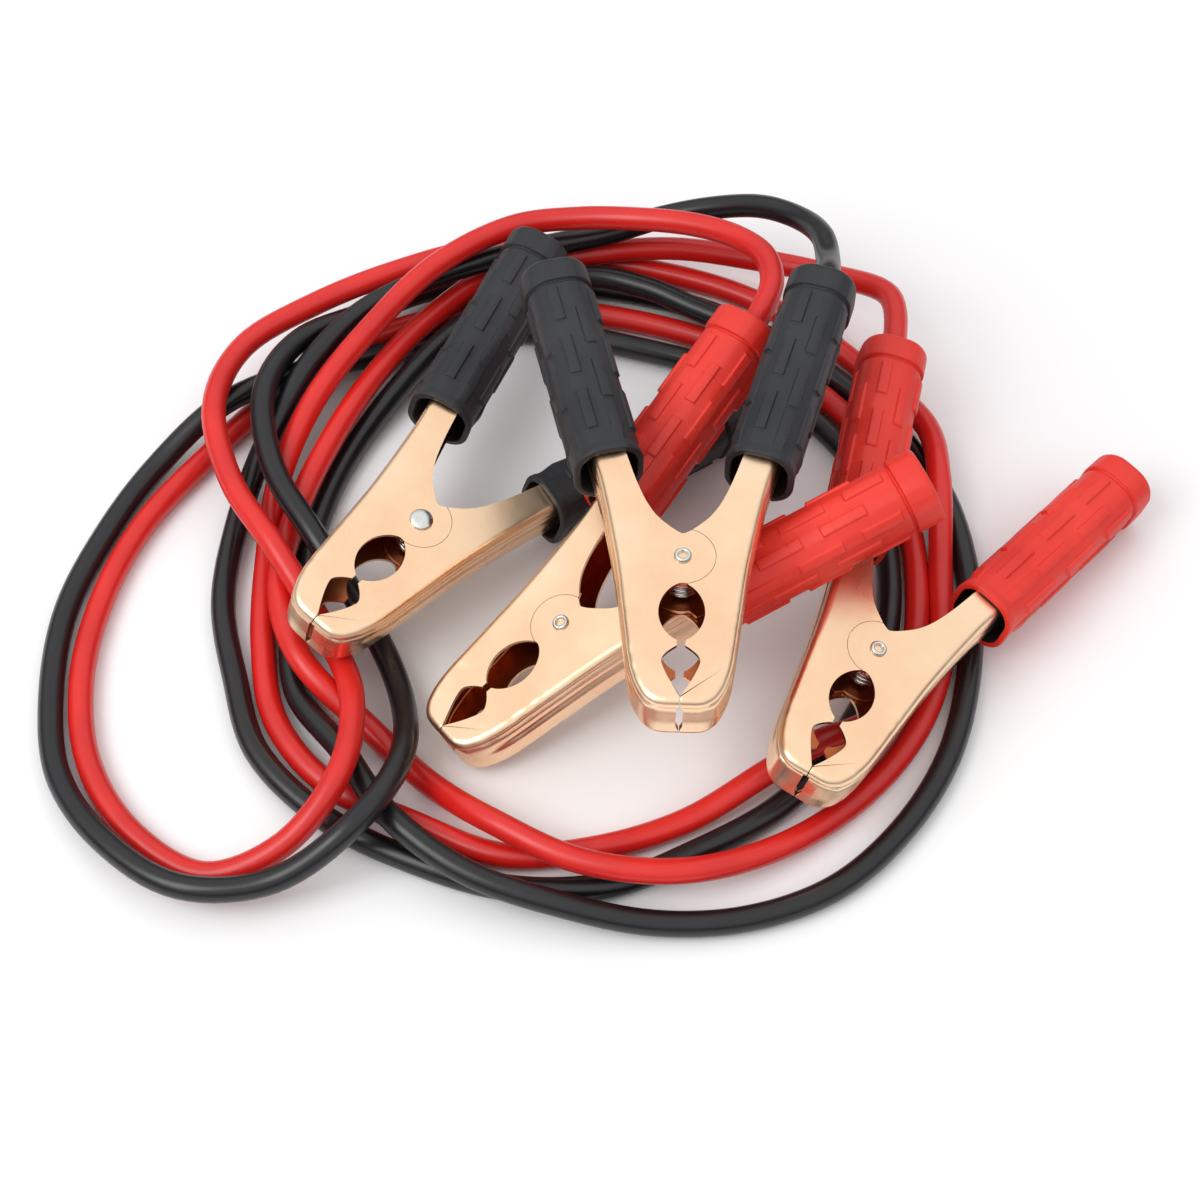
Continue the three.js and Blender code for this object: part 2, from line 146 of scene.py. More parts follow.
# Cable routes: x, y and lift off the floor. The strands were read off the photo by hand, and a scratch
# program then spaced and smoothed them. These are mostly its points in whole millimetres, and many of
# them were moved by hand since.
RED_ROUTE = [
    (56, 89, 49), (54, 102, 47), (45, 114, 43), (31, 123, 39), (12, 130, 34), (-8, 133, 31),
    (-30, 131, 29), (-56, 115, 27), (-77, 93, 21), (-94, 69, 15), (-105, 41, 8), (-108, 11, 1),
    (-107, -20, 0), (-101, -48, 0), (-84, -70, 0), (-57, -84, 0), (-30, -95, 0), (-2, -93, 0),
    (26, -84, 1), (52, -69, 6), (67, -62, 11), (82, -53, 7), (97, -30, 2), (102, -2, 0),
    (101, 28, 0), (92, 57, 0), (74, 81, 1), (50, 98, 1), (24, 110, 0), (-5, 117, 0),
    (-34, 119, 0), (-64, 112, 0), (-91, 99, 0), (-113, 78, 0), (-133, 52, 0), (-150, 26, 0),
    (-160, -3, 0), (-163, -34, 0), (-157, -64, 0), (-141, -88, 0), (-118, -102, 1), (-94, -96, 9),
    (-78, -76, 17), (-76, -48, 14), (-86, -21, 8), (-103, 5, 18), (-119, 31, 18), (-127, 60, 20),
    (-120, 89, 16), (-98, 110, 13), (-70, 125, 13), (-42, 137, 10), (-13, 142, 1), (17, 137, 0),
    (46, 127, 0), (71, 111, 0), (92, 89, 1), (109, 63, 6), (111, 38, 10), (110, 8, 2),
    (107, -30, 0), (95, -57, 0), (75, -79, 0), (50, -96, 4), (23, -105, 9), (-6, -102, 10),
    (-31, -89, 9), (-52, -71, 1), (-71, -52, 1), (-93, -32, 10), (-102, -5, 8), (-99, 25, 8),
    (-89, 55, 9), (-75, 84, 9), (-57, 109, 9), (-35, 128, 9), (-5, 136, 9), (25, 139, 9),
    (54, 134, 9), (80, 124, 12), (98, 106, 22),
]
BLACK_ROUTE = [
    (74, 93, 55), (73, 107, 51), (67, 120, 45), (55, 131, 39), (40, 138, 31), (22, 141, 23),
    (3, 138, 18), (-26, 129, 19), (-55, 119, 18), (-80, 105, 16), (-98, 80, 16), (-111, 53, 8),
    (-119, 25, 1), (-121, -4, 0), (-115, -32, 0), (-106, -59, 0), (-84, -82, 0), (-56, -97, 0),
    (-27, -106, 0), (3, -105, 0), (29, -94, 0), (55, -78, 0), (74, -56, 0), (87, -31, 0),
    (93, -3, 0), (92, 27, 0), (84, 53, 0), (67, 75, 0), (43, 91, 0), (14, 101, 0),
    (-16, 108, 0), (-46, 107, 0), (-74, 98, 1), (-100, 85, 8), (-126, 70, 9), (-148, 49, 1),
    (-162, 22, 0), (-171, -7, 0), (-172, -38, 0), (-166, -68, 1), (-149, -92, 4), (-124, -109, 7),
    (-96, -108, 9), (-72, -94, 19), (-60, -70, 15), (-62, -41, 4), (-74, -14, 7), (-91, 11, 16),
    (-106, 37, 18), (-111, 66, 20), (-102, 92, 15), (-81, 112, 6), (-56, 128, 1), (-26, 132, 0),
    (5, 128, 0), (35, 119, 0), (61, 104, 0), (82, 86, 0), (102, 61, 0), (114, 37, 0),
    (119, 4, 0), (116, -32, 0), (107, -62, 0), (91, -87, 0), (70, -106, 0), (44, -116, 0),
    (16, -118, 1), (-13, -114, 6), (-40, -105, 9), (-63, -87, 10), (-79, -62, 6), (-95, -38, 1),
    (-98, -8, 0), (-94, 21, 0), (-86, 50, 0), (-71, 77, 3), (-51, 100, 9), (-28, 119, 9),
    (-4, 126, 9), (16, 121, 9), (32, 112, 9), (46, 103, 10), (55, 93, 11), (57, 85, 11),
    (54, 77, 9),
]

GRIP_RUN = (GRIP_END - GRIP_START).length
GRIP_DIRECTION = (GRIP_END - GRIP_START).normalized()
GRIP_ANGLE = math.atan2(GRIP_DIRECTION.y, GRIP_DIRECTION.x)

pivots = {j["name"].split("_")[1]: Vector(j["pos_m"]) for j in frame["joints"]}
layout_shift = pivots["a"] - Vector(CLAMPS["a"]["at"]) * MM


def clamp_matrix(letter):
    """Place of a clamp: its own +X along the handles and its own +Z along the rivet."""
    c = CLAMPS[letter]
    turn = Matrix.Rotation(math.radians(c["yaw"]), 4, "Z")
    rise = Matrix.Rotation(math.radians(-c["rise"]), 4, "Y")
    roll = Matrix.Rotation(math.radians(c["roll"]), 4, "X")
    return Matrix.Translation(pivots[letter]) @ turn @ rise @ roll


# Camera, from a scratch fit of marks on the clamps in the photo

CAMERA_DISTANCE = 0.787
CAMERA_ELEVATION = math.radians(56.4)
CAMERA_LENS = 72.96


def make_camera():
    data = bpy.data.cameras.new("camera")
    data.sensor_width = 36
    data.lens = CAMERA_LENS
    cam = bpy.data.objects.new("camera", data)
    bpy.context.scene.collection.objects.link(cam)
    back = Vector((0, -math.cos(CAMERA_ELEVATION), math.sin(CAMERA_ELEVATION)))
    cam.location = layout_shift + back * CAMERA_DISTANCE
    cam.rotation_mode = "QUATERNION"
    cam.rotation_quaternion = (-back).to_track_quat("-Z", "Y")
    bpy.context.scene.camera = cam


# Node helpers


def new_material(name):
    mat = bpy.data.materials.new(name)
    mat.use_nodes = True
    nodes = mat.node_tree.nodes
    shader = nodes["Principled BSDF"]
    return mat, nodes, mat.node_tree.links, shader


def noise(nodes, links, coords, scale, detail=3.0, rough=0.5, stretch=None):
    source = coords
    if stretch:
        mapping = nodes.new("ShaderNodeMapping")
        mapping.inputs["Scale"].default_value = stretch
        links.new(coords, mapping.inputs["Vector"])
        source = mapping.outputs["Vector"]
    node = nodes.new("ShaderNodeTexNoise")
    node.inputs["Scale"].default_value = scale
    node.inputs["Detail"].default_value = detail
    node.inputs["Roughness"].default_value = rough
    links.new(source, node.inputs["Vector"])
    return node.outputs["Fac"]


def ramp(nodes, links, value, stops):
    node = nodes.new("ShaderNodeValToRGB")
    elements = node.color_ramp.elements
    while len(elements) < len(stops):
        elements.new(0.5)
    for element, (place, colour) in zip(elements, stops):
        element.position = place
        element.color = (*colour, 1)
    links.new(value, node.inputs["Fac"])
    return node.outputs["Color"]


def spread(nodes, links, value, low, high, from_low=0.3, from_high=0.7):
    node = nodes.new("ShaderNodeMapRange")
    node.inputs["From Min"].default_value = from_low
    node.inputs["From Max"].default_value = from_high
    node.inputs["To Min"].default_value = low
    node.inputs["To Max"].default_value = high
    links.new(value, node.inputs["Value"])
    return node.outputs["Result"]


def math_node(nodes, links, operation, a, b=None):
    node = nodes.new("ShaderNodeMath")
    node.operation = operation
    for socket, value in zip(node.inputs, (a, b)):
        if value is None:
            continue
        if isinstance(value, (int, float)):
            socket.default_value = value
        else:
            links.new(value, socket)
    return node.outputs["Value"]


def bump(nodes, links, height, strength, distance, after=None):
    node = nodes.new("ShaderNodeBump")
    node.inputs["Strength"].default_value = strength
    node.inputs["Distance"].default_value = distance
    links.new(height, node.inputs["Height"])
    if after is not None:
        links.new(after, node.inputs["Normal"])
    return node.outputs["Normal"]


def object_coords(nodes):
    return nodes.new("ShaderNodeTexCoord").outputs["Object"]


# Materials


def copper_material(name, tones):
    mat, nodes, links, shader = new_material(name)
    coords = object_coords(nodes)
    parts = nodes.new("ShaderNodeSeparateXYZ")
    links.new(coords, parts.inputs["Vector"])
    cloud = noise(nodes, links, coords, 45, 4)
    fine = noise(nodes, links, coords, 900, 2)
    brushed = noise(nodes, links, coords, 160, 3, 0.6, (0.18, 1, 1))
    colour = ramp(nodes, links, cloud, list(zip((0.3, 0.55, 0.75), tones)))
    links.new(colour, shader.inputs["Base Color"])
    shader.inputs["Metallic"].default_value = 1.0
    wear = math_node(nodes, links, "ADD", cloud, math_node(nodes, links, "MULTIPLY", brushed, 0.6))
    links.new(spread(nodes, links, wear, 0.2, 0.34, 0.5, 1.0), shader.inputs["Roughness"])
    # Press wrinkles across the cheek beside the bites, fading towards the rivet
    wave = nodes.new("ShaderNodeTexWave")
    wave.wave_type = "BANDS"
    wave.bands_direction = "X"
    wave.inputs["Scale"].default_value = 50
    wave.inputs["Distortion"].default_value = 8
    wave.inputs["Detail"].default_value = 1.5
    links.new(coords, wave.inputs["Vector"])
    out = math_node(nodes, links, "ABSOLUTE", parts.outputs["Y"])
    flank = spread(nodes, links, out, 0, 1, 0.0085, 0.0135)
    ahead = spread(nodes, links, parts.outputs["X"], 1, 0, -0.030, -0.012)
    place = math_node(nodes, links, "MULTIPLY", flank, ahead)
    wrinkles = math_node(nodes, links, "MULTIPLY", wave.outputs["Fac"], place)
    first = bump(nodes, links, wrinkles, 0.4, 0.0004)
    second = bump(nodes, links, cloud, 0.25, 0.0008, first)
    third = bump(nodes, links, fine, 0.05, 0.0001, second)
    links.new(third, shader.inputs["Normal"])
    return mat


def zinc_material():
    mat, nodes, links, shader = new_material("zinc_plating")
    coords = object_coords(nodes)
    cloud = noise(nodes, links, coords, 300, 3)
    colour = ramp(nodes, links, cloud, [(0.3, (0.62, 0.64, 0.62)), (0.7, (0.80, 0.82, 0.79))])
    links.new(colour, shader.inputs["Base Color"])
    shader.inputs["Metallic"].default_value = 1.0
    links.new(spread(nodes, links, cloud, 0.18, 0.34), shader.inputs["Roughness"])
    links.new(bump(nodes, links, cloud, 0.12, 0.0002), shader.inputs["Normal"])
    return mat


def plastic_material(name, dark, mid, light, rough_low, rough_high, grain, coat=0.0):
    """Soft plastic: cloudy colour, a fine moulded grain and faint handling marks."""
    mat, nodes, links, shader = new_material(name)
    coords = object_coords(nodes)
    cloud = noise(nodes, links, coords, 35, 3)
    fine = noise(nodes, links, coords, 1400, 2)
    marks = noise(nodes, links, coords, 120, 4, 0.65, (0.25, 1, 1))
    colour = ramp(nodes, links, cloud, [(0.3, dark), (0.52, mid), (0.75, light)])
    links.new(colour, shader.inputs["Base Color"])
    links.new(spread(nodes, links, marks, rough_low, rough_high), shader.inputs["Roughness"])
    shader.inputs["Coat Weight"].default_value = coat
    shader.inputs["Coat Roughness"].default_value = 0.2
    shader.inputs["IOR"].default_value = 1.5
    first = bump(nodes, links, marks, 0.08, 0.0004)
    links.new(bump(nodes, links, fine, grain, 0.00012, first), shader.inputs["Normal"])
    return mat


def floor_material():
    mat, nodes, links, shader = new_material("pale_floor")
    coords = object_coords(nodes)
    cloud = noise(nodes, links, coords, 3, 2)
    colour = ramp(nodes, links, cloud, [(0.3, (0.90, 0.90, 0.91)), (0.7, (0.93, 0.93, 0.93))])
    links.new(colour, shader.inputs["Base Color"])
    shader.inputs["Roughness"].default_value = 0.55
    shader.inputs["Specular IOR Level"].default_value = 0.25
    return mat


PALE_COPPER = [(0.93, 0.60, 0.38), (0.96, 0.68, 0.45), (0.98, 0.74, 0.51)]
# The darker copper tones are painted shade: a shaded copy of the plating for the sheets' inner faces
# inside the jaws
SHADED_COPPER_TONES = [(0.42, 0.10, 0.035), (0.52, 0.15, 0.055), (0.62, 0.21, 0.08)]
COPPER = copper_material("copper_plating", PALE_COPPER)
COPPER_PAINTED_SHADE = copper_material("copper_painted_shade_inside", SHADED_COPPER_TONES)
ZINC = zinc_material()
RED_GRIP = plastic_material(
    "red_grip_plastic",
    (0.66, 0.018, 0.010), (0.76, 0.028, 0.015), (0.82, 0.04, 0.022),
    0.4, 0.54, 0.25,
)
BLACK_GRIP = plastic_material(
    "black_grip_plastic",
    (0.012, 0.013, 0.015), (0.017, 0.018, 0.021), (0.024, 0.025, 0.029),
    0.45, 0.6, 0.3,
)
RED_CABLE = plastic_material(
    "red_cable_plastic",
    (0.58, 0.008, 0.006), (0.68, 0.013, 0.009), (0.74, 0.02, 0.014),
    0.3, 0.42, 0.1, 0.1,
)
BLACK_CABLE = plastic_material(
    "black_cable_plastic",
    (0.004, 0.004, 0.005), (0.006, 0.006, 0.008), (0.009, 0.009, 0.011),
    0.26, 0.4, 0.1, 0.1,
)
# Near-black painted shade for the inside of every grip sleeve, the red ones too
PAINTED_SHADE_HOLLOW = plastic_material(
    "grip_hollow_painted_shade", (0.008, 0.006, 0.006), (0.010, 0.008, 0.008), (0.014, 0.010, 0.010), 0.6, 0.8, 0.2
)


# Cables


def smooth_route(points, per_span=8):
    """A smooth curve through the points, with the same knots by root distance as the CAD tube."""
    whole = [2 * points[0] - points[1], *points, 2 * points[-1] - points[-2]]
    line = []
    for i in range(len(points) - 1):
        p0, p1, p2, p3 = whole[i : i + 4]
        d0 = max((p1 - p0).length ** 0.5, 1e-4)
        d1 = max((p2 - p1).length ** 0.5, 1e-4)
        d2 = max((p3 - p2).length ** 0.5, 1e-4)
        t1 = ((p1 - p0) / d0 - (p2 - p0) / (d0 + d1) + (p2 - p1) / d1) * d1
        t2 = ((p2 - p1) / d1 - (p3 - p1) / (d1 + d2) + (p3 - p2) / d2) * d1
        for k in range(per_span):
            t = k / per_span
            c2 = 3 * (p2 - p1) - 2 * t1 - t2
            c3 = 2 * (p1 - p2) + t1 + t2
            line.append(p1 + t1 * t + c2 * t * t + c3 * t * t * t)
    line.append(points[-1])
    return line


def round_curve(name, line, diameter, material, resolution=6):
    data = bpy.data.curves.new(name, "CURVE")
    data.dimensions = "3D"
    data.bevel_depth = diameter / 2
    data.bevel_resolution = resolution
    data.use_fill_caps = True
    spline = data.splines.new("POLY")
    spline.points.add(len(line) - 1)
    for point, place in zip(spline.points, line):
        point.co = (*place, 1)
    spline.use_smooth = True
    data.materials.append(material)
    obj = bpy.data.objects.new(name, data)
    bpy.context.scene.collection.objects.link(obj)
    return obj


def cap_exit(letter):
    """Where the cable leaves its cap, and the direction it leaves in."""
    side = -CLAMPS[letter]["free"]
    end = GRIP_END + GRIP_DIRECTION * CABLE_GAP
    m = clamp_matrix(letter)
    point = m @ (Vector((end.x, side * end.y, 0)) * MM)
    away = (m.to_3x3() @ Vector((GRIP_DIRECTION.x, side * GRIP_DIRECTION.y, 0))).normalized()
    return point, away


def cable(name, first, last, middle, material):
    start, start_away = cap_exit(first)
    finish, finish_away = cap_exit(last)
    lead = CABLE_LEAD * MM
    route = [start, start + start_away * lead]
    for x, y, lift in middle:
        place = Vector((x, y, CABLE_DIAMETER / 2 + CABLE_REST + lift)) * MM
        route.append(place + layout_shift)
    route += [finish + finish_away * lead, finish]
    line = smooth_route(route)
    obj = round_curve(f"{name}_jacket", line, CABLE_DIAMETER * MM, material, 8)
    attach(obj, ROOT)
    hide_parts(name)


# Clamp outlines, in the clamp's own plane


def beside_grip(along, out):
    across = Vector((-GRIP_DIRECTION.y, GRIP_DIRECTION.x))
    return GRIP_START + GRIP_DIRECTION * along + across * out


def back_edge():
    """The back of a half from the gap at the nose to the arm inside the grip."""
    bend = [
        Vector((-JAW_LENGTH, TIP_HALF_WIDTH - 3)),
        Vector((-JAW_LENGTH + 0.5, TIP_HALF_WIDTH - 0.2)),
        Vector((-JAW_LENGTH + 2.6, TIP_HALF_WIDTH + 2.9)),
        Vector((-JAW_LENGTH + 6.2, TIP_HALF_WIDTH + 5.2)),
        Vector((-JAW_LENGTH + 13, JAW_HALF_WIDTH - 2.4)),
        Vector((BIG_BITE_U, JAW_HALF_WIDTH)),
        Vector((0, PIVOT_HALF_WIDTH)),
        beside_grip(-9, ARM_WIDTH / 2),
        beside_grip(0, ARM_WIDTH / 2),
    ]
    nose = [Vector((-JAW_LENGTH, JAW_GAP / 2 + k * 0.7)) for k in range(6)]
    arm = [beside_grip(k * ARM_SHOWN / 6, ARM_WIDTH / 2) for k in range(1, 7)]
    return nose + smooth_route(bend, 12) + arm


def big_bite(a):
    """Pointed at both ends; the angle is 0 at the pivot end."""
    c, s = math.cos(a), math.sin(a)
    out = math.copysign(abs(s) ** 1.3, s)
    return Vector((BIG_BITE_U + BIG_BITE_LENGTH / 2 * c, BIG_BITE_WIDTH / 2 * out))


def in_big_bite(p):
    t = (p.x - BIG_BITE_U) / (BIG_BITE_LENGTH / 2)
    return abs(t) < 1 and abs(p.y) < BIG_BITE_WIDTH / 2 * (1 - t * t) ** 0.65


def small_bite(a):
    """A drop, wide towards the pivot and tapering to the nose."""
    c = math.cos(a)
    if c > 0:
        return Vector((SMALL_BITE_U + SMALL_BITE_BACK * c, SMALL_BITE_WIDTH / 2 * (1 - c**1.6) ** 0.9))
    return Vector((SMALL_BITE_U + SMALL_BITE_AHEAD * c, SMALL_BITE_WIDTH / 2 * (1 - abs(c) ** 1.35)))


def inner_edge(outer_leaf):
    """The edge towards the other half, from the arm's end to the nose, with both bites."""
    crotch = smooth_route(
        [
            beside_grip(0, -ARM_WIDTH / 2),
            Vector((26, 13.9)),
            Vector((18.6, 10.7)),
            Vector((14, 7.7)),
            Vector((10.9, 4.5)),
            Vector((8.7, 1.7)),
            Vector((CROTCH_U, 0)),
        ]
    )
    edge = [beside_grip(ARM_SHOWN, -ARM_WIDTH / 2), beside_grip(ARM_SHOWN / 2, -ARM_WIDTH / 2)]
    radius = LOBE_RADIUS if outer_leaf else LOBE_RADIUS + LOBE_CLEARANCE
    if outer_leaf:
        crotch += [Vector((p.x, -p.y)) for p in reversed(crotch[:-1])]
    near = False
    for p in crotch:
        if (near and p.length > radius) or (p.length < radius and not outer_leaf):
            break
        near = p.length < radius
        edge.append(p)
    start = math.atan2(edge[-1].y, edge[-1].x)
    way = -1 if outer_leaf else 1
    for k in range(1, 181):
        a = start + way * LOBE_STEP * k
        p = Vector((radius * math.cos(a), radius * math.sin(a)))
        if in_big_bite(p):
            break
        edge.append(p)
    begin = math.atan2(edge[-1].y / BIG_BITE_WIDTH, (edge[-1].x - BIG_BITE_U) / BIG_BITE_LENGTH)
    half_gap = TOOTH_GAP / 2
    for k in range(1, 90):
        a = begin + BITE_STEP * k
        p = big_bite(a)
        if a > math.pi / 2 and p.y < half_gap:
            break
        edge.append(p)
    edge.append(Vector((BIG_BITE_U - BIG_BITE_LENGTH / 2 * 0.96, half_gap)))
    for k in range(1, 45):
        p = small_bite(BITE_STEP * k)
        if p.y < (half_gap if k < 22 else JAW_GAP / 2):
            continue
        edge.append(p)
    tip = Vector((SMALL_BITE_U - SMALL_BITE_AHEAD - 0.2, JAW_GAP / 2))
    kept = [edge[0]]
    for p in edge[1:]:
        if (p - kept[-1]).length > EDGE_SPACING and (p - tip).length > EDGE_SPACING:
            kept.append(p)
    return [*kept, tip]


def ease(t):
    t = min(max(t, 0), 1)
    return t * t * (3 - 2 * t)


# How many points of the wall's section are the bend, and where its lip ends and its groove begins
UPPER_BEND = 7
LIP_END = UPPER_BEND + 4
GROOVE_FIRST = LIP_END + 2


def wall_profile():
    """Section of a half from the upper cheek round the back to the lower one: (inset, height)."""
    top = CLAMP_HEIGHT / 2
    points = []
    for k in range(UPPER_BEND):
        a = math.radians(15 * k)
        points.append((EDGE_ROUND * (1 - math.sin(a)), top - EDGE_ROUND * (1 - math.cos(a))))
    upper = top - EDGE_ROUND
    deep = GROOVE_DEPTH_WALL
    points += [(0.1, upper - 0.25), (0.75, upper - 0.6), (0.85, upper - 1.1), (0.3, upper - 1.6)]
    points += [(0, upper - 2.2), (-0.05, upper - 3.2), (0.05, 2.2), (0.35, 1.6), (deep, 1.0)]
    points += [(deep + 0.1, 0.2), (deep * 0.7, -0.5), (0.2, -1.1), (0, -1.8), (0, -4.2)]
    for k in range(UPPER_BEND - 1, -1, -1):
        a = math.radians(15 * k)
        points.append((EDGE_ROUND * (1 - math.sin(a)), -top + EDGE_ROUND * (1 - math.cos(a))))
    return points


def new_piece(name, mesh, material, letter, body, replaces=()):
    obj = bpy.data.objects.new(name, mesh)
    bpy.context.scene.collection.objects.link(obj)
    for m in material if isinstance(material, list) else [material]:
        mesh.materials.append(m)
    obj.matrix_world = clamp_matrix(letter)
    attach(obj, body)
    if replaces:
        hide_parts(*replaces)
    return obj


def sheet_modifiers(obj, thickness, rounding):
    solid = obj.modifiers.new("sheet", "SOLIDIFY")
    solid.thickness = thickness * MM
    solid.offset = -1
    # The inner shell takes the second material, the darker copper that is painted shade
    solid.material_offset = 1
    edge = obj.modifiers.new("edge", "BEVEL")
    edge.width = rounding * MM
    edge.segments = 2
    edge.limit_method = "ANGLE"
    edge.angle_limit = math.radians(50)
    normal = obj.modifiers.new("normal", "WEIGHTED_NORMAL")
    normal.keep_sharp = True


def half_mesh(name, side, outer_leaf):
    path = back_edge()
    profile = wall_profile()
    count = len(path)
    bm = bmesh.new()
    rows = []
    for i, p in enumerate(path):
        before = path[max(i - 1, 0)]
        after = path[min(i + 1, count - 1)]
        along = (after - before).normalized()
        inward = Vector((along.y, -along.x))
        # The groove starts behind the nose and runs out along the arm
        fade = min(max((p.x + JAW_LENGTH - GROOVE_START) / GROOVE_RUN_IN, 0), 1)
        # At the nose the wall is a folded tab, set back under the cheek and short of the other half
        tab = 1 - ease((p.x + JAW_LENGTH - JAW_GAP) / TAB_RUN)
        row = []
        for j, (inset, height) in enumerate(profile):
            flat = inset
            if UPPER_BEND <= j < LIP_END:
                flat = inset * (1 + LIP_DEEPER * tab)
            elif LIP_END <= j < len(profile) - UPPER_BEND:
                flat = (inset if j < GROOVE_FIRST else inset * fade) + TAB_SET_BACK * tab
            q = p + inward * flat
            if UPPER_BEND <= j < len(profile) - UPPER_BEND and p.y < TAB_NOTCH:
                q.y = TAB_NOTCH
            row.append(bm.verts.new((q.x * MM, side * q.y * MM, height * MM)))
        rows.append(row)
    for i in range(count - 1):
        for j in range(len(profile) - 1):
            face = [rows[i][j], rows[i][j + 1], rows[i + 1][j + 1], rows[i + 1][j]]
            bm.faces.new(face if side < 0 else face[::-1])
    edge = inner_edge(outer_leaf)
    top = CLAMP_HEIGHT / 2
    for j, height in ((0, top), (-1, -top)):
        rim = [row[j] for row in rows]
        inner = [bm.verts.new((p.x * MM, side * p.y * MM, height * MM)) for p in edge]
        loop = rim + inner
        bm.faces.new(loop)
    bm.normal_update()
    bmesh.ops.recalc_face_normals(bm, faces=bm.faces)
    # The back wall's faces look away from the jaw's own middle
    wall = rows[count // 2][len(profile) // 2]
    sample = wall.link_faces[0]
    if sample.normal.y * side < 0:
        bmesh.ops.reverse_faces(bm, faces=bm.faces)
    mesh = bpy.data.meshes.new(name)
    bm.to_mesh(mesh)
    bm.free()
    mesh.shade_smooth()
    return mesh


def clamp_half(letter, kind, side, outer_leaf, body):
    node = f"clamp_{letter}_{kind}_jaw"
    mesh = half_mesh(node, side, outer_leaf)
    # The second material, on the inner faces of the sheet and ears, is the copper in painted shade
    faces = [COPPER, COPPER_PAINTED_SHADE]
    sheet = new_piece(f"{node}_sheet", mesh, faces, letter, body, [node])
    sheet_modifiers(sheet, SHEET, SHEET_BEVEL)
    if not outer_leaf:
        ear = ear_mesh(f"{node}_ear", side)
        piece = new_piece(f"{node}_ears", ear, faces, letter, body)
        sheet_modifiers(piece, SHEET, EAR_BEVEL)


def ear_mesh(name, side):
    """The two inner leaves that run under the other half's round ears."""
    bm = bmesh.new()
    level = CLAMP_HEIGHT / 2 - SHEET - LEAF_CLEARANCE
    for height in (level, -level):
        ring = []
        for k in range(48):
            a = 2 * math.pi * k / 48
            radius = LOBE_RADIUS - LOBE_CLEARANCE
            if 0.1 * math.pi < a < 0.9 * math.pi:
                radius += EAR_ROOT
            elif math.cos(a) > 0.75:
                radius = CROTCH_U - 0.4
            p = (radius * math.cos(a) * MM, side * radius * math.sin(a) * MM, height * MM)
            ring.append(bm.verts.new(p))
        face = bm.faces.new(ring)
        face.normal_update()
        if face.normal.z * height < 0:
            face.normal_flip()
    mesh = bpy.data.meshes.new(name)
    bm.to_mesh(mesh)
    bm.free()
    return mesh


# Grip


def section_point(turn, width, height, corner):
    """Point on a rounded rectangle at a share of the way round it, and its outward normal."""
    cx = width / 2 - corner
    cy = height / 2 - corner
    arc = corner * math.pi / 2
    runs = [2 * cy, arc, 2 * cx, arc, 2 * cy, arc, 2 * cx, arc]
    at = (turn % 1) * sum(runs)
    corners = [(cx, cy), (-cx, cy), (-cx, -cy), (cx, -cy)]
    starts = [(width / 2, -cy), (cx, height / 2), (-width / 2, cy), (-cx, -height / 2)]
    ways = [(0, 1), (-1, 0), (0, -1), (1, 0)]
    for k, run in enumerate(runs):
        if at <= run or k == 7:
            break
        at -= run
    if k % 2:
        x, y = corners[k // 2]
        a = k // 2 * math.pi / 2 + at / corner
        n = Vector((math.cos(a), math.sin(a)))
        return Vector((x, y)) + n * corner, n
    n = Vector(((1, 0), (0, 1), (-1, 0), (0, -1))[k // 2])
    return Vector(starts[k // 2]) + Vector(ways[k // 2]) * at, n


def grip_stations():
    """(distance along, how far the skin stands off, share of bar relief) from mouth to end."""
    end = GRIP_RUN
    cap = end - CAP_LENGTH
    rim = [
        (0.0, -GRIP_WALL, 0),
        (0.0, -GRIP_WALL + 0.35, 0),
        (0.0, RIM_STEP - 0.5, 0),
        (0.15, RIM_STEP - 0.15, 0),
        (0.55, RIM_STEP, 0),
        (RIM_LENGTH - 0.9, RIM_STEP * 0.8, 0),
        (RIM_LENGTH, 0.12, 0),
        (RIM_LENGTH + 1.2, 0, 0),
    ]
    tail = [
        (cap - CAP_GROOVE - 0.5, 0, 0),
        (cap - CAP_GROOVE, -0.1, 0),
        (cap - CAP_GROOVE + 0.15, -CAP_GROOVE_DEPTH, 0),
        (cap - 0.15, -CAP_GROOVE_DEPTH, 0),
        (cap, CAP_STEP - 0.35, 0),
        (cap + 0.3, CAP_STEP, 0),
        (end - 2.2, CAP_STEP, 0),
        (end - 1.2, CAP_STEP - 0.1, 0),
        (end - 0.5, CAP_STEP - 0.5, 0),
        (end - 0.12, CAP_STEP - 1.1, 0),
        (end, CAP_STEP - 1.9, 0),
        (end, CAP_STEP - 4, 0),
    ]
    places = set()
    for phase in (0, BAR_PITCH / 2):
        first = BAR_FIRST + phase
        while first < cap - CAP_GROOVE - BAR_SHORTEST:
            last = min(first + BAR_LENGTH, cap - CAP_GROOVE - 2)
            for edge, way in ((first, 1), (last, -1)):
                for share in (0, 0.33, 0.67, 1):
                    places.add(round(edge + way * share * BAR_SLOPE, 3))
            first += BAR_PITCH
    body = [(x, 0, 1) for x in sorted(places) if RIM_LENGTH + 1.4 < x < cap - CAP_GROOVE - 0.6]
    return rim + body + tail


def bar_relief(x, row):
    """How much of a bar's rise there is at a distance along, in a row."""
    cap = GRIP_RUN - CAP_LENGTH - CAP_GROOVE
    first = BAR_FIRST + (row % 2) * BAR_PITCH / 2
    best = 0
    while first < cap - BAR_SHORTEST:
        last = min(first + BAR_LENGTH, cap - 2)
        inside = min(x - first, last - x)
        best = max(best, ease(inside / BAR_SLOPE))
        first += BAR_PITCH
    # The half bar that a staggered row has at the mouth
    if row % 2:
        last = BAR_FIRST + BAR_PITCH / 2 - (BAR_PITCH - BAR_LENGTH)
        inside = min(x - RIM_LENGTH - MOUTH_BAR_START, last - x)
        best = max(best, ease(inside / BAR_SLOPE))
    return best


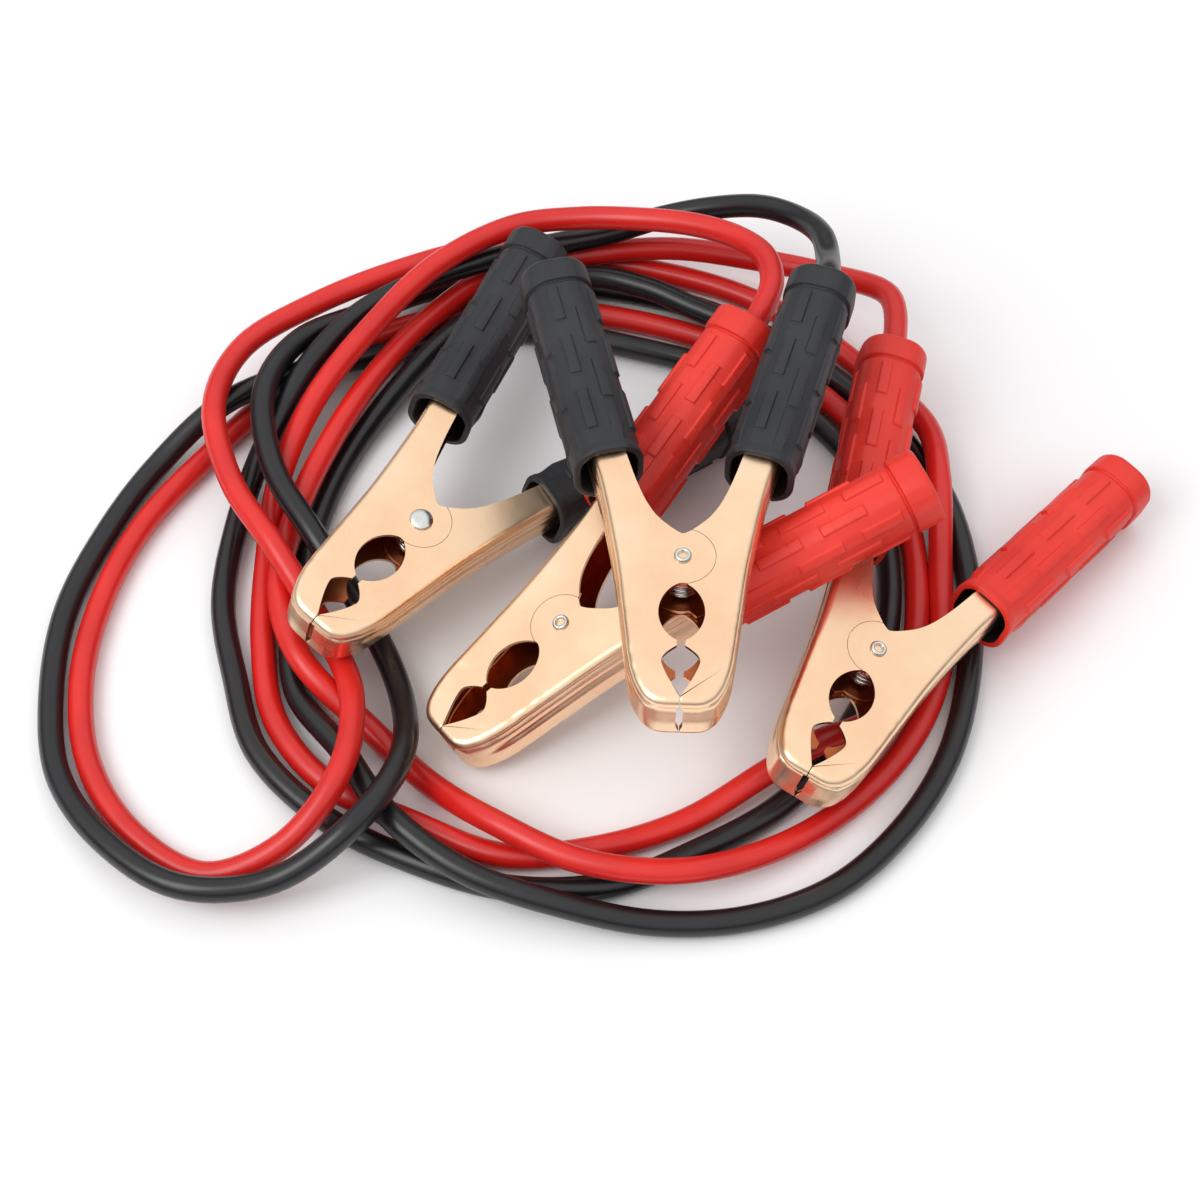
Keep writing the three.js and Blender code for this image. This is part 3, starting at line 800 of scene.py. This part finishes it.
def around_stations():
    """(share of the way round, row, share of the bar's rise across it)."""
    stations = []
    girth = 2 * (GRIP_WIDTH + GRIP_HEIGHT) - (8 - 2 * math.pi) * GRIP_CORNER
    slope = BAR_SLOPE / girth
    for row in range(BAR_ROWS):
        low = (row + 0.5 - BAR_SHARE / 2) / BAR_ROWS
        high = (row + 0.5 + BAR_SHARE / 2) / BAR_ROWS
        for share in (0, 0.33, 0.67, 1):
            stations.append((low + slope * share, row, ease(share)))
        stations.append(((low + high) / 2, row, 1))
        for share in (1, 0.67, 0.33, 0):
            stations.append((high - slope * share, row, ease(share)))
        stations.append(((row + 1) / BAR_ROWS, row, 0))
    return stations


def grip_mesh(name):
    bm = bmesh.new()
    around = around_stations()
    rings = []
    for x, off, relief in grip_stations():
        ring = []
        for turn, row, share in around:
            p, n = section_point(turn, GRIP_WIDTH, GRIP_HEIGHT, GRIP_CORNER)
            rise = BAR_RISE * share * bar_relief(x, row) * relief
            q = p + n * (off + rise)
            ring.append(bm.verts.new((x * MM, q.x * MM, q.y * MM)))
        rings.append(ring)
    # Inside of the sleeve, with its floor, which takes the near-black painted shade material
    for x, off in SLEEVE_INSIDE:
        ring = []
        for turn, row, share in around:
            p, n = section_point(turn, GRIP_WIDTH, GRIP_HEIGHT, GRIP_CORNER)
            q = p + n * off
            ring.append(bm.verts.new((x * MM, q.x * MM, q.y * MM)))
        rings.insert(0, ring)
    count = len(around)
    for ring, following in zip(rings, rings[1:]):
        for k in range(count):
            bm.faces.new([ring[k], following[k], following[(k + 1) % count], ring[(k + 1) % count]])
    bm.faces.new(rings[-1])
    bm.faces.new(rings[0][::-1])
    bmesh.ops.recalc_face_normals(bm, faces=bm.faces)
    for face in bm.faces:
        face.smooth = True
    # The inside rings take the second material, the near-black painted shade
    for ring in rings[:INNER_RINGS]:
        for v in ring:
            for face in v.link_faces:
                face.material_index = 1
    mesh = bpy.data.meshes.new(name)
    bm.to_mesh(mesh)
    bm.free()
    return mesh


def grip(letter, kind, side, body, colour):
    node = f"clamp_{letter}_{kind}_grip"
    skin = RED_GRIP if colour == "red" else BLACK_GRIP
    mesh = grip_mesh(node)
    mesh.materials.append(skin)
    # The second material is the near-black painted shade of the sleeve's inside
    mesh.materials.append(PAINTED_SHADE_HOLLOW)
    obj = bpy.data.objects.new(f"{node}_sleeve", mesh)
    bpy.context.scene.collection.objects.link(obj)
    place = Matrix.Translation(Vector((GRIP_START.x, side * GRIP_START.y, 0)) * MM)
    obj.matrix_world = clamp_matrix(letter) @ place @ Matrix.Rotation(side * GRIP_ANGLE, 4, "Z")
    normal = obj.modifiers.new("normal", "WEIGHTED_NORMAL")
    normal.keep_sharp = True
    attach(obj, body)
    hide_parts(node)


# Rivet and spring


def lathe(name, profile, sides=48):
    bm = bmesh.new()
    rings = []
    for r, z in profile:
        if r < 1e-6:
            rings.append([bm.verts.new((0, 0, z * MM))])
            continue
        ring = []
        for k in range(sides):
            a = 2 * math.pi * k / sides
            ring.append(bm.verts.new((r * math.cos(a) * MM, r * math.sin(a) * MM, z * MM)))
        rings.append(ring)
    for a, b in zip(rings, rings[1:]):
        for k in range(sides):
            n = (k + 1) % sides
            if len(a) == 1:
                bm.faces.new([a[0], b[k], b[n]])
            elif len(b) == 1:
                bm.faces.new([a[k], b[0], a[n]])
            else:
                bm.faces.new([a[k], b[k], b[n], a[n]])
    bmesh.ops.recalc_face_normals(bm, faces=bm.faces)
    mesh = bpy.data.meshes.new(name)
    bm.to_mesh(mesh)
    bm.free()
    mesh.shade_smooth()
    return mesh


def rivet(letter):
    seat = CLAMP_HEIGHT / 2 + HEAD_GAP
    tail = seat + RIVET_TAIL_HEIGHT
    head = seat + RIVET_HEAD_HEIGHT
    dimple = RIVET_DIMPLE_RADIUS
    profile = [
        (0, -tail + RIVET_DIMPLE_DEPTH),
        (dimple * 0.6, -tail + RIVET_DIMPLE_DEPTH * 0.95),
        (dimple * 0.95, -tail + RIVET_DIMPLE_DEPTH * 0.7),
        (dimple, -tail + 0.5),
        (dimple + 0.15, -tail + 0.12),
        (dimple + 0.45, -tail),
        (dimple + 0.85, -tail + 0.02),
        (RIVET_TAIL_RADIUS - 0.25, -tail + 0.2),
        (RIVET_TAIL_RADIUS, -seat - 0.3),
        (RIVET_TAIL_RADIUS, -seat),
        (RIVET_RADIUS, -seat),
        (RIVET_RADIUS, seat),
        (RIVET_HEAD_RADIUS - 0.1, seat),
        (RIVET_HEAD_RADIUS, seat + 0.15),
        (RIVET_HEAD_RADIUS - 0.12, seat + 0.4),
        (RIVET_HEAD_RADIUS * 0.82, seat + 0.75),
        (RIVET_HEAD_RADIUS * 0.55, head - 0.22),
        (RIVET_HEAD_RADIUS * 0.28, head - 0.05),
        (0, head),
    ]
    node = f"clamp_{letter}_rivet"
    mesh = lathe(node, profile)
    obj = new_piece(f"{node}_formed", mesh, ZINC, letter, ROOT, [node])
    if not CLAMPS[letter]["head_up"]:
        obj.matrix_world = clamp_matrix(letter) @ Matrix.Rotation(math.pi, 4, "X")
        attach(obj, ROOT)


def spring(letter):
    side = CLAMPS[letter]["free"]
    per_turn = 24
    low = -SPRING_TURNS * SPRING_PITCH / 2
    points = [Vector((SPRING_LONG_LEG, -side * SPRING_RADIUS, low))]
    points.append(Vector((SPRING_LONG_LEG / 2, -side * SPRING_RADIUS, low)))
    for i in range(SPRING_TURNS * per_turn + 1):
        a = -side * (math.pi / 2 + 2 * math.pi * i / per_turn)
        lift = low + i / per_turn * SPRING_PITCH
        points.append(Vector((SPRING_RADIUS * math.cos(a), SPRING_RADIUS * math.sin(a), lift)))
    points.append(Vector((-SPRING_SHORT_LEG / 2, -side * SPRING_RADIUS, -low)))
    node = f"clamp_{letter}_spring"
    line = [p * MM for p in points]
    obj = round_curve(f"{node}_wire", line, SPRING_WIRE * MM, ZINC, 4)
    obj.matrix_world = clamp_matrix(letter)
    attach(obj, ROOT)
    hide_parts(node)


def clamp(letter, colour):
    free = CLAMPS[letter]["free"]
    moving = f"clamp_{letter}_moving_half"
    clamp_half(letter, "free", free, True, moving)
    clamp_half(letter, "cable", -free, False, ROOT)
    grip(letter, "free", free, moving, colour)
    grip(letter, "cable", -free, ROOT, colour)
    rivet(letter)
    spring(letter)


# Floor and light


def make_floor():
    mesh = bpy.data.meshes.new("floor")
    size = 6
    corners = [(-size, -size, 0), (size, -size, 0), (size, size, 0), (-size, size, 0)]
    mesh.from_pydata(corners, [], [(0, 1, 2, 3)])
    mesh.materials.append(floor_material())
    floor = bpy.data.objects.new("floor", mesh)
    bpy.context.scene.collection.objects.link(floor)


def area_light(name, place, target, size, power):
    data = bpy.data.lights.new(name, "AREA")
    data.shape = "RECTANGLE"
    data.size, data.size_y = size
    data.energy = power
    lamp = bpy.data.objects.new(name, data)
    bpy.context.scene.collection.objects.link(lamp)
    lamp.location = place
    lamp.rotation_mode = "QUATERNION"
    lamp.rotation_quaternion = (Vector(target) - Vector(place)).to_track_quat("-Z", "Y")


def make_light():
    bpy.context.scene.view_settings.view_transform = "Standard"
    world = bpy.data.worlds.new("studio")
    bpy.context.scene.world = world
    world.use_nodes = True
    nodes, links = world.node_tree.nodes, world.node_tree.links
    parts = nodes.new("ShaderNodeSeparateXYZ")
    links.new(nodes.new("ShaderNodeTexCoord").outputs["Generated"], parts.inputs["Vector"])
    sky = ramp(
        nodes,
        links,
        parts.outputs["Z"],
        [
            (0.0, (0.05, 0.045, 0.045)),
            (0.2, (0.18, 0.17, 0.17)),
            (0.42, (0.70, 0.70, 0.71)),
            (0.6, (1.0, 1.0, 1.0)),
        ],
    )
    links.new(sky, nodes["Background"].inputs["Color"])
    nodes["Background"].inputs["Strength"].default_value = 1.05
    area_light("key", (-0.9, -0.5, 1.25), (-0.03, 0, 0), (0.9, 0.9), 10)


make_camera()
cable("red_cable", "c", "d", RED_ROUTE, RED_CABLE)
cable("black_cable", "b", "a", BLACK_ROUTE, BLACK_CABLE)
for letter, colour in (("a", "black"), ("b", "black"), ("c", "red"), ("d", "red")):
    clamp(letter, colour)
make_floor()
make_light()
